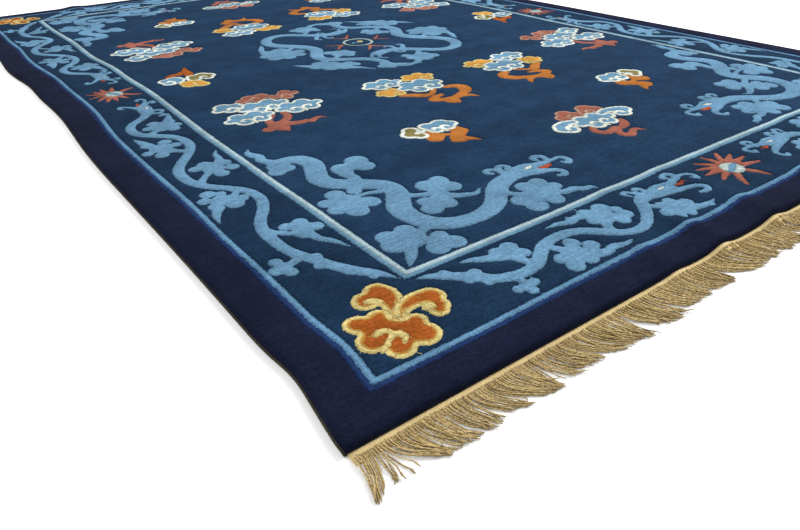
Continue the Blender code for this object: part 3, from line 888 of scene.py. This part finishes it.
def spreadPoints(points, outward, dense):
    # points beside the outlines, at full height, and open points between them
    tree = kdtree.KDTree(len(dense))
    for i, (x, y) in enumerate(dense):
        tree.insert((x, y, 0.0), i)
    tree.balance()
    reach = carpet["grooveReach"]
    taken = {}
    beside, gaps = [], []

    def free(x, y, room):
        cellX, cellY = int(x // 5), int(y // 5)
        for i in range(cellX - 1, cellX + 2):
            for j in range(cellY - 1, cellY + 2):
                for u, v in taken.get((i, j), ()):
                    if (u - x) ** 2 + (v - y) ** 2 < room * room:
                        return False
        taken.setdefault((cellX, cellY), []).append((x, y))
        return True

    for (x, y), (nx, ny) in zip(points, outward):
        for side in (-1, 1):
            for share in (1.0, 0.5):
                px, py = x + side * share * reach * nx, y + side * share * reach * ny
                gap = tree.find((px, py, 0.0))[2]
                if gap < 0.72 * share * reach:
                    continue
                if free(px, py, 4.6 * share):
                    beside.append((px, py))
                    gaps.append(min(gap, share * reach))
                break
    draw = random.Random(4)
    halfX = carpet["halfWidth"] - carpet["topInset"]
    halfY = carpet["halfLength"] - carpet["topInset"]
    for spacing, onRipples in ((carpet["openSpacing"], False), (carpet["rippleSpacing"], True)):
        for j in range(int(2 * halfY / spacing)):
            for i in range(int(2 * halfX / spacing)):
                x = -halfX + spacing * (i + 0.5 + 0.5 * (j % 2)) + draw.uniform(-0.12, 0.12) * spacing
                y = -halfY + spacing * (j + 0.5) + draw.uniform(-0.12, 0.12) * spacing
                if max(abs(x) - halfX, abs(y) - halfY) > -0.35 * spacing:
                    continue
                rippled = any(
                    abs(x - place) < 2.2 * spread and carpet["halfLength"] - end * y < run
                    for end, place, _, spread, run in carpet["ripples"])
                if rippled != onRipples:
                    continue
                gap = tree.find((x, y, 0.0))[2]
                if gap > 9.0 and free(x, y, 8.0):
                    beside.append((x, y))
                    gaps.append(min(gap, 12.0))
    return beside, gaps


def dyeFaces(centres, drawn):
    dye = np.full(len(centres), dyeNumber["navy"])
    for halfX, halfY, name in borders:
        within = (np.abs(centres[:, 0]) < halfX) & (np.abs(centres[:, 1]) < halfY)
        dye[within] = dyeNumber[name]
    for motif, matrix, offset in drawn:
        local = (centres - offset) @ matrix
        xs, ys = motif["xs"], motif["ys"]
        inBox = (local[:, 0] > xs[0]) & (local[:, 0] < xs[-1]) & (local[:, 1] > ys[0]) & (local[:, 1] < ys[-1])
        where = np.nonzero(inBox)[0]
        found = dyeAt(motif, local[where])
        dye[where[found >= 0]] = found[found >= 0]
    return dye


def makeCarpet(material):
    points, depths, edges, dense, outward, drawn = planDrawing()
    beside, gaps = spreadPoints(points, outward, dense)
    halfX = carpet["halfWidth"] - carpet["topInset"]
    halfY = carpet["halfLength"] - carpet["topInset"]
    rim = rectangleRun(halfX, halfY, 15.0)[:-1]
    first = len(points) + len(beside)
    flat = [Vector(p) for p in points] + [Vector(p) for p in beside] + [Vector(p) for p in rim]
    rimEdges = [(first + i, first + (i + 1) % len(rim)) for i in range(len(rim))]
    verts, _, faces, origins, _, _ = geometry.delaunay_2d_cdt(flat, edges + rimEdges, [], 0, 1e-5, True)
    print("top of the pile:", len(verts), "points,", len(faces), "faces")
    top = np.array([tuple(v) for v in verts])
    distance = np.zeros(len(top))
    groove = np.zeros(len(top))
    rimIndex = {}
    for i, sources in enumerate(origins):
        source = min(sources) if len(sources) else -1
        if source < 0 or source < len(points):
            groove[i] = depths[source] if source >= 0 else carpet["grooveDepth"]["inner"]
        elif source < first:
            distance[i] = gaps[source - len(points)]
        else:
            distance[i] = 12.0
        for s in sources:
            if s >= first:
                rimIndex[s - first] = i
    strayX, strayY = strayAt(top[:, 0], top[:, 1])
    strayed = top + np.column_stack((strayX, strayY))
    corners = np.array([tuple(f) for f in faces])
    a, b, c = (top[corners[:, k]] for k in range(3))
    turn = (b[:, 0] - a[:, 0]) * (c[:, 1] - a[:, 1]) - (b[:, 1] - a[:, 1]) * (c[:, 0] - a[:, 0])
    corners = corners[np.abs(turn) > 1e-6]
    turn = turn[np.abs(turn) > 1e-6]
    corners[turn < 0] = corners[turn < 0][:, ::-1]
    dye = dyeFaces(top[corners].mean(axis=1), drawn)
    # each face's own dye, and the dye across the nearest outline
    lowest = np.full(len(top), 999)
    highest = np.full(len(top), -1)
    for k in range(3):
        np.minimum.at(lowest, corners[:, k], dye)
        np.maximum.at(highest, corners[:, k], dye)
    across = dye.copy()
    onOutline = distance < 0.01
    for k in range(3):
        at = corners[:, k]
        across = np.where(onOutline[at] & (lowest[at] != dye), lowest[at], across)
        across = np.where(onOutline[at] & (lowest[at] == dye) & (highest[at] != dye), highest[at], across)
    heights = carpet["thickness"] - groove
    solid = [tuple(p) for p in laid(strayed, heights)]
    loop = [rimIndex[i] for i in range(len(rim))]
    triangles = [tuple(t) for t in corners]
    smooth = list(~onOutline[corners].any(axis=1))
    own, other = list(dye), list(across)
    sideways = np.column_stack((
        np.where(np.abs(np.abs(rim[:, 0]) - halfX) < 1e-6, np.sign(rim[:, 0]), 0.0),
        np.where(np.abs(np.abs(rim[:, 1]) - halfY) < 1e-6, np.sign(rim[:, 1]), 0.0)))
    lip = carpet["topInset"] + carpet["lip"]
    rows = [(out, out, z, "navy") for out, z in carpet["sideRows"]]
    rows += [(lip, carpet["topInset"], carpet["lipHeight"], "selvedge"), (lip, carpet["topInset"], 0.3, "selvedge"),
             (lip - 1.5, carpet["topInset"] - 1.0, 0.0, "selvedge")]
    distances = list(distance)
    for outX, outY, z, name in rows:
        ring = rim + sideways * np.array((outX, min(outY, carpet["topInset"])))
        start = len(solid)
        solid += [tuple(p) for p in laid(ring, np.full(len(ring), z))]
        distances += [12.0] * len(ring)
        fresh = list(range(start, start + len(ring)))
        for i in range(len(ring)):
            j = (i + 1) % len(ring)
            triangles.append((loop[i], fresh[i], fresh[j], loop[j]))
            own.append(dyeNumber[name])
            other.append(dyeNumber[name])
            smooth.append(True)
        loop = fresh
    # the underside, coarse and flat under the ripples
    under = rim + sideways * np.array((lip - 1.5, carpet["topInset"] - 1.0))
    spacing = carpet["undersideSpacing"]
    inner = [(x, y) for x in np.arange(-halfX + spacing / 2, halfX - 20, spacing / 2.5)
             for y in np.arange(-halfY + spacing / 2, halfY - 20, spacing)]
    underFlat = [Vector(p) for p in under] + [Vector(p) for p in inner]
    ringEdges = [(i, (i + 1) % len(under)) for i in range(len(under))]
    lowVerts, _, lowFaces, lowOrigins, _, _ = geometry.delaunay_2d_cdt(underFlat, ringEdges, [], 1, 1e-5, True)
    lowFlat = np.array([tuple(v) for v in lowVerts])
    lowLaid = laid(lowFlat, np.zeros(len(lowFlat)))
    index = {}
    for i, sources in enumerate(lowOrigins):
        onRim = [s for s in sources if s < len(under)]
        if onRim:
            index[i] = loop[onRim[0]]
        else:
            index[i] = len(solid)
            solid.append(tuple(lowLaid[i]))
            distances.append(12.0)
    for face in lowFaces:
        p, q, r = (lowFlat[i] for i in face)
        clockwise = (q[0] - p[0]) * (r[1] - p[1]) - (q[1] - p[1]) * (r[0] - p[0]) < 0
        order = face if clockwise else face[::-1]
        triangles.append(tuple(index[i] for i in order))
        own.append(dyeNumber["backCloth"])
        other.append(dyeNumber["backCloth"])
        smooth.append(True)
    data = bpy.data.meshes.new("carvedPileCarpet")
    data.from_pydata([(x * metresPerMm, y * metresPerMm, z * metresPerMm) for x, y, z in solid], [], triangles)
    data.validate(verbose=False)
    data.polygons.foreach_set("use_smooth", np.array(smooth, bool))
    colours = np.array([[wool["dyeStrength"] * linear(v) for v in rgb] + [1.0] for _, rgb in dyes])
    own, other = np.array(own), np.array(other)
    for name, numbers in (("ownDye", own), ("acrossDye", other)):
        layer = data.attributes.new(name, "FLOAT_COLOR", "FACE")
        layer.data.foreach_set("color", colours[numbers].ravel())
    soft = np.zeros(len(own), bool)
    for names in blendedDyes:
        blended = [dyeNumber[name] for name in names]
        soft |= np.isin(own, blended) & np.isin(other, blended)
    layer = data.attributes.new("dyeSide", "FLOAT", "FACE")
    layer.data.foreach_set("value", np.where(own > other, 1.0, -1.0) * np.where(soft, 2.2, 1.0))
    # a face with an outline along every side keeps its own dye
    loopPoints = np.zeros(len(data.loops), int)
    data.loops.foreach_get("vertex_index", loopPoints)
    cornerGaps = np.array(distances, float)[loopPoints]
    starts = np.zeros(len(data.polygons), int)
    data.polygons.foreach_get("loop_start", starts)
    sizes = np.zeros(len(data.polygons), int)
    data.polygons.foreach_get("loop_total", sizes)
    enclosed = np.maximum.reduceat(cornerGaps, starts) < 0.01
    cornerGaps[np.repeat(enclosed, sizes)] = 2.0
    layer = data.attributes.new("outlineGap", "FLOAT", "CORNER")
    layer.data.foreach_set("value", cornerGaps)
    data.materials.append(material)
    item = bpy.data.objects.new("carvedPileCarpet", data)
    bpy.context.scene.collection.objects.link(item)
    return item


def linear(value):
    v = value / 255.0
    return v / 12.92 if v <= 0.04045 else ((v + 0.055) / 1.055) ** 2.4


# Small helpers for materials
def addNode(tree, kind, **values):
    node = tree.nodes.new(kind)
    for name, value in values.items():
        setattr(node, name, value)
    return node


def joined(tree, output, node, socket):
    tree.links.new(output, node.inputs[socket])
    return node


def maths(tree, operation, first, second=None, clamp=False):
    node = addNode(tree, "ShaderNodeMath", operation=operation, use_clamp=clamp)
    for i, value in enumerate((first, second)):
        if value is None:
            continue
        if isinstance(value, (int, float)):
            node.inputs[i].default_value = value
        else:
            tree.links.new(value, node.inputs[i])
    return node.outputs[0]


def ranged(tree, value, low, high, toLow, toHigh):
    node = addNode(tree, "ShaderNodeMapRange", interpolation_type="SMOOTHSTEP")
    tree.links.new(value, node.inputs["Value"])
    for name, number in zip(("From Min", "From Max", "To Min", "To Max"), (low, high, toLow, toHigh)):
        node.inputs[name].default_value = number
    return node.outputs["Result"]


def noise(tree, place, scale, detail=2.0, roughness=0.5, stretch=None):
    if stretch:
        mapping = addNode(tree, "ShaderNodeMapping")
        mapping.inputs["Scale"].default_value = stretch
        tree.links.new(place, mapping.inputs["Vector"])
        place = mapping.outputs["Vector"]
    node = addNode(tree, "ShaderNodeTexNoise")
    node.inputs["Scale"].default_value = scale
    node.inputs["Detail"].default_value = detail
    node.inputs["Roughness"].default_value = roughness
    tree.links.new(place, node.inputs["Vector"])
    return node.outputs["Fac"]


def mixed(tree, kind, factor, first, second):
    node = addNode(tree, "ShaderNodeMix", data_type="RGBA", blend_type=kind)
    for socket, value in ((node.inputs["Factor"], factor), (node.inputs["A"], first), (node.inputs["B"], second)):
        if isinstance(value, (int, float)):
            socket.default_value = value
        elif isinstance(value, tuple):
            socket.default_value = (*value, 1.0)
        else:
            tree.links.new(value, socket)
    return node.outputs["Result"]


wool = {
    "dyeStrength": 0.66,
    "knotPitch": 3.3,  # millimetres
    "jag": 1.3,
    "roughness": 0.95,
    "sheen": 0.0,
    "sheenRoughness": 0.5,
}


def makeWool():
    material = bpy.data.materials.new("knottedWool")
    material.use_nodes = True
    tree = material.node_tree
    shader = tree.nodes["Principled BSDF"]
    place = addNode(tree, "ShaderNodeTexCoord").outputs["Object"]
    own = addNode(tree, "ShaderNodeAttribute", attribute_name="ownDye").outputs["Color"]
    across = addNode(tree, "ShaderNodeAttribute", attribute_name="acrossDye").outputs["Color"]
    side = addNode(tree, "ShaderNodeAttribute", attribute_name="dyeSide").outputs["Fac"]
    gap = addNode(tree, "ShaderNodeAttribute", attribute_name="outlineGap").outputs["Fac"]
    # single knots step over an outline
    cells = addNode(tree, "ShaderNodeTexVoronoi", voronoi_dimensions="3D")
    cells.inputs["Scale"].default_value = 1000.0 / wool["knotPitch"]
    cells.inputs["Randomness"].default_value = 0.7
    tree.links.new(place, cells.inputs["Vector"])
    cellTone = addNode(tree, "ShaderNodeSeparateColor")
    tree.links.new(cells.outputs["Color"], cellTone.inputs["Color"])
    knot = cellTone.outputs["Red"]
    step = maths(tree, "MULTIPLY", maths(tree, "SUBTRACT", knot, 0.5), wool["jag"])
    reach = maths(tree, "ADD", gap, maths(tree, "MULTIPLY", step, side))
    ownShare = ranged(tree, reach, -0.5, 0.5, 0.0, 1.0)
    dyed = mixed(tree, "MIX", ownShare, across, own)
    # uneven dye: broad bars across the rug, cloudy patches, rows and single tufts
    bars = ranged(tree, noise(tree, place, 1.0, 2.0, 0.5, (0.6, 9.0, 1.0)), 0.3, 0.7, 0.90, 1.10)
    patches = ranged(tree, noise(tree, place, 16.0, 3.0, 0.55), 0.3, 0.7, 0.88, 1.12)
    rowsTone = ranged(tree, noise(tree, place, 60.0, 2.0, 0.6, (0.35, 6.0, 1.0)), 0.25, 0.75, 0.84, 1.16)
    tufts = ranged(tree, knot, 0.0, 1.0, 0.86, 1.14)
    fibres = ranged(tree, noise(tree, place, 900.0, 2.0, 0.6), 0.25, 0.75, 0.80, 1.20)
    tone = maths(tree, "MULTIPLY", maths(tree, "MULTIPLY", bars, patches), maths(tree, "MULTIPLY", rowsTone, tufts))
    tone = maths(tree, "MULTIPLY", tone, fibres)
    # painted shade: the pile is darkened towards the carved outlines, where the grooves lie
    grooveShade = ranged(tree, gap, 0.0, 2.4, 0.80, 1.0)
    tone = maths(tree, "MULTIPLY", tone, grooveShade)
    toneColour = addNode(tree, "ShaderNodeCombineColor")
    for socket in ("Red", "Green", "Blue"):
        tree.links.new(tone, toneColour.inputs[socket])
    coloured = mixed(tree, "MULTIPLY", 1.0, dyed, toneColour.outputs["Color"])
    tree.links.new(coloured, shader.inputs["Base Color"])
    shader.inputs["Roughness"].default_value = wool["roughness"]
    shader.inputs["Sheen Weight"].default_value = wool["sheen"]
    shader.inputs["Sheen Roughness"].default_value = wool["sheenRoughness"]
    shader.inputs["Specular IOR Level"].default_value = 0.02
    # tuft ends, and a soft lie of the pile
    fine = noise(tree, place, 700.0, 3.0, 0.65)
    broad = noise(tree, place, 45.0, 3.0, 0.5, (1.0, 1.6, 1.0))
    height = maths(tree, "ADD", maths(tree, "MULTIPLY", fine, 0.5), maths(tree, "MULTIPLY", broad, 1.6))
    bump = addNode(tree, "ShaderNodeBump")
    bump.inputs["Strength"].default_value = 0.55
    bump.inputs["Distance"].default_value = 0.0012
    tree.links.new(height, bump.inputs["Height"])
    tree.links.new(bump.outputs["Normal"], shader.inputs["Normal"])
    return material


fringe = {
    "yarns": 1040,
    "sides": 4,
    "stages": 11,
    "halfThick": 0.95,
    "rootIn": 8.0,  # the yarns leave the strip this far before its edge
    "reach": 48.0,
    "lean": 30.0,
    "cornerLean": -17.0,
    "cornerWidth": 20.0,
    "cornerBlend": 12.0,
    "bend": 1.75,
    "stripWidth": 16.0,
    "stripThick": 2.3,
    "stripGap": 0.3,
    "endMargin": 1.0,
    # length, share of the closest gathering and phase of the waves in the fringe
    "clumps": {-1: ((152, 0.33, 0.6), (87, 0.19, 2.1)), 1: ((171, 0.31, 2.4), (96, 0.20, 0.3))},
    "tuftWidth": (17.0, 44.0),
    "tuftPull": 0.46,
    "tuftLean": 8.0,
    "tuftReach": (0.88, 1.08),
    "layers": 5.0,
    "crossing": 130,
    "dye": (212, 187, 128),
    "deepDye": (150, 121, 68),
    "stripDye": (232, 208, 150),
    "stripDeepDye": (186, 156, 98),
}


def swayAt(x, end):
    fromCorner = carpet["halfWidth"] - end * x
    along = min(1.0, max(0.0, (fromCorner - fringe["cornerWidth"]) / fringe["cornerBlend"]))
    blend = along * along * (3 - 2 * along)
    sway = -end * (fringe["cornerLean"] + (fringe["lean"] - fringe["cornerLean"]) * blend)
    for length, share, phase in fringe["clumps"][end]:
        sway += blend * share * length / (2 * math.pi) * math.sin(2 * math.pi * x / length + phase)
    return sway


def tuftPlan(end, draw):
    # how the yarns part into tufts, from the corner lock on
    half = carpet["halfWidth"] - fringe["endMargin"]
    tufts, start = [], 0.0
    while start < 2 * half:
        width = fringe["cornerWidth"] if not tufts else draw.uniform(*fringe["tuftWidth"])
        lean = 0.0 if not tufts else draw.gauss(0.0, fringe["tuftLean"])
        reach = 1.04 if not tufts else draw.uniform(*fringe["tuftReach"])
        middle = end * (half - start - width / 2)
        tufts.append((middle, width / 2, lean, reach, draw.uniform(0.0, 6.28)))
        start += width
    return tufts


def tubeAlong(path, radii, turns, verts, faces):
    sides = fringe["sides"]
    first = len(verts)
    for k, (point, radius, turn) in enumerate(zip(path, radii, turns)):
        ahead = path[min(k + 1, len(path) - 1)] - path[max(k - 1, 0)]
        ahead.normalize()
        side = ahead.cross(Vector((0.0, 0.0, 1.0))).normalized()
        up = side.cross(ahead)
        for s in range(sides):
            angle = turn + 2 * math.pi * s / sides
            spot = point + side * (radius * math.cos(angle)) + up * (radius * math.sin(angle))
            verts.append((spot.x, spot.y, max(0.03, spot.z)))
    for k in range(len(path) - 1):
        low = first + k * sides
        for s in range(sides):
            m = (s + 1) % sides
            faces.append((low + s, low + sides + s, low + sides + m, low + m))
    faces.append(tuple(range(first, first + sides)))
    last = first + (len(path) - 1) * sides
    faces.append(tuple(range(last + sides - 1, last - 1, -1)))


def makeFringe(name, end, material, stripMaterial):
    draw = random.Random(20 + end)
    half = carpet["halfWidth"] - fringe["endMargin"]
    inner = end * (carpet["halfLength"] + fringe["stripGap"])
    outer = inner + end * fringe["stripWidth"]
    verts, faces, tones = [], [], []

    def ground(x):
        spot = np.array([x]), np.array([float(end * carpet["halfLength"])])
        return float(x + wanderAt(*spot)[0]), float(liftAt(*spot)[0])

    # the woven strip, low against the pile and with a rounded rib
    columns = 300
    profile = ((0.0, 0.0), (0.0, 0.8), (0.10, 1.0), (0.26, 1.0), (0.34, 0.86), (0.5, 0.9), (0.75, 0.8),
               (1.0, 0.45), (1.0, 0.0))
    rows = []
    for i in range(columns + 1):
        x, z = ground(-half + 2 * half * i / columns)
        rows.append(range(len(verts), len(verts) + len(profile)))
        frayed = draw.uniform(-0.6, 0.6)
        for share, level in profile:
            verts.append((x, inner + (outer - inner) * share + (frayed if share == 1.0 else 0.0),
                          z + fringe["stripThick"] * level * draw.uniform(0.94, 1.0)))
            tones.append(1.0)
    for near, far in zip(rows, rows[1:]):
        for k in range(len(profile)):
            m = (k + 1) % len(profile)
            faces.append((near[k], near[m], far[m], far[k])[::-end])
    faces.append(tuple(rows[0])[::end])
    faces.append(tuple(rows[-1])[::-end])
    stripFaces = len(faces)
    # loose warp yarns, gathered in tufts, and a few that lie across them
    tufts = tuftPlan(end, draw)
    count = fringe["yarns"] + fringe["crossing"]
    for i in range(count):
        crosses = i >= fringe["yarns"]
        if crosses:
            plan = draw.uniform(-half + 60, half - 60)
        else:
            plan = -half + 2 * half * (i + 0.5 + draw.uniform(-0.45, 0.45)) / fringe["yarns"]
        rootX, rootZ = ground(plan)
        middle, halfTuft, tuftLean, tuftReach, tuftTurn = min(tufts, key=lambda t: abs(plan - t[0]) - t[1])
        place = (plan - middle) / halfTuft
        pull = -fringe["tuftPull"] * place * halfTuft + tuftLean
        inLock = carpet["halfWidth"] - end * plan < fringe["cornerWidth"] + fringe["endMargin"]
        sway = swayAt(rootX, end) + pull + draw.gauss(0.0, 1.2 if inLock else 3.6)
        reach = fringe["reach"] * tuftReach * (1.0 - 0.08 * place * place) * draw.uniform(0.88, 1.04)
        layer = fringe["layers"] * draw.random() ** 1.6 * (1.0 - 0.35 * place * place)
        if crosses:
            sway += draw.choice((-1, 1)) * draw.uniform(5.0, 24.0)
            reach *= draw.uniform(0.7, 1.0)
            layer = fringe["layers"] * draw.uniform(0.6, 1.2)
        thick = fringe["halfThick"] * (0.8 if crosses else draw.uniform(0.8, 1.2))
        waves = [(draw.uniform(0.2, 1.3), draw.uniform(4.0, 15.0), draw.uniform(0.0, 6.28)) for _ in range(2)]
        hook = draw.gauss(0.0, 1.0 if inLock else 4.5)
        path, radii, turns = [], [], []
        twist = draw.uniform(0.7, 1.1)
        for k in range(fringe["stages"] + 1):
            t = k / fringe["stages"]
            out = (reach + fringe["rootIn"]) * t - fringe["rootIn"]
            share = max(0.0, out / fringe["reach"])
            x = rootX + sway * share ** fringe["bend"] + hook * max(0.0, t - 0.8) * 5.0 * (t - 0.8) * 5.0
            x += sum(reached * math.sin(rate * t + turn) for reached, rate, turn in waves) * t
            y = outer + end * out + 0.6 * waves[0][0] * math.sin(9.0 * t + tuftTurn) * t
            rise = (rootZ + fringe["stripThick"] * 0.8) * (1.0 - min(1.0, t * 1.6)) ** 2
            z = thick * 0.8 + rise + layer * math.sin(math.pi * min(1.0, 0.12 + 0.8 * t)) ** 0.8
            z += 0.5 * waves[1][0] * (1 + math.sin(waves[1][1] * t + waves[0][2])) * t * (1 - 0.6 * t)
            knotted = 1.35 if t > 0.86 else 1.0
            path.append(Vector((x, y, z)))
            radii.append(thick * (0.55 if t == 1.0 else knotted))
            turns.append(twist * k)
        tubeAlong(path, radii, turns, verts, faces)
        # each yarn's tone: a random share, painted shade on yarns lying low under the others, and darker towards the
        # tip
        tone = draw.uniform(0.84, 1.10) * (0.86 + 0.14 * min(1.0, layer / 2.5))
        for k in range(fringe["stages"] + 1):
            t = k / fringe["stages"]
            tones += [tone * (1.0 - 0.30 * max(0.0, t - 0.72) / 0.28)] * fringe["sides"]
    data = bpy.data.meshes.new(name)
    data.from_pydata([(x * metresPerMm, y * metresPerMm, z * metresPerMm) for x, y, z in verts], [], faces)
    data.polygons.foreach_set("use_smooth", np.ones(len(faces), bool))
    data.materials.append(material)
    data.materials.append(stripMaterial)
    data.polygons.foreach_set("material_index", [1] * stripFaces + [0] * (len(faces) - stripFaces))
    layer = data.attributes.new("yarnToneAndShade", "FLOAT", "POINT")
    layer.data.foreach_set("value", np.array(tones, float))
    item = bpy.data.objects.new(name, data)
    bpy.context.scene.collection.objects.link(item)
    return item


def makeCotton(name, dye, deepDye, ribbed):
    material = bpy.data.materials.new(name)
    material.use_nodes = True
    tree = material.node_tree
    shader = tree.nodes["Principled BSDF"]
    place = addNode(tree, "ShaderNodeTexCoord").outputs["Object"]
    light = tuple(linear(v) for v in dye)
    deep = tuple(linear(v) for v in deepDye)
    patch = ranged(tree, noise(tree, place, 45.0, 3.0, 0.6), 0.35, 0.7, 0.0, 1.0)
    yarn = ranged(tree, noise(tree, place, 500.0, 2.0, 0.6, (1.0, 0.25, 1.0)), 0.3, 0.7, 0.0, 1.0)
    share = maths(tree, "ADD", maths(tree, "MULTIPLY", patch, 0.35), maths(tree, "MULTIPLY", yarn, 0.35))
    mottled = mixed(tree, "MIX", share, light, deep)
    # per-yarn random tone together with painted shade on the low-lying yarns
    tone = addNode(tree, "ShaderNodeAttribute", attribute_name="yarnToneAndShade").outputs["Fac"]
    toneColour = addNode(tree, "ShaderNodeCombineColor")
    for socket in ("Red", "Green", "Blue"):
        tree.links.new(tone, toneColour.inputs[socket])
    coloured = mixed(tree, "MULTIPLY", 1.0, mottled, toneColour.outputs["Color"])
    tree.links.new(coloured, shader.inputs["Base Color"])
    shader.inputs["Roughness"].default_value = 0.88
    shader.inputs["Sheen Weight"].default_value = 0.12
    bands = addNode(tree, "ShaderNodeTexWave", wave_type="BANDS", bands_direction="X" if ribbed else "DIAGONAL")
    bands.inputs["Scale"].default_value = 180.0 if ribbed else 260.0
    bands.inputs["Distortion"].default_value = 1.2
    tree.links.new(place, bands.inputs["Vector"])
    bump = addNode(tree, "ShaderNodeBump")
    bump.inputs["Strength"].default_value = 0.6
    bump.inputs["Distance"].default_value = 0.0006
    tree.links.new(bands.outputs["Fac"], bump.inputs["Height"])
    tree.links.new(bump.outputs["Normal"], shader.inputs["Normal"])
    return material


makeCamera()
makeStudio()
print("camera, floor and light are set")

pile = makeCarpet(makeWool())
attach(pile, "root")
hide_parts("pile_carpet")
print("carpet made with", len(pile.data.polygons), "faces")

yarnCotton = makeCotton("twistedCotton", fringe["dye"], fringe["deepDye"], False)
wovenCotton = makeCotton("wovenCotton", fringe["stripDye"], fringe["stripDeepDye"], True)
for name, end, node in (("fringeNear", -1, "fringe_near"), ("fringeFar", 1, "fringe_far")):
    item = makeFringe(name, end, yarnCotton, wovenCotton)
    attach(item, "root")
    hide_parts(node)
    print(name, "made with", len(item.data.polygons), "faces")
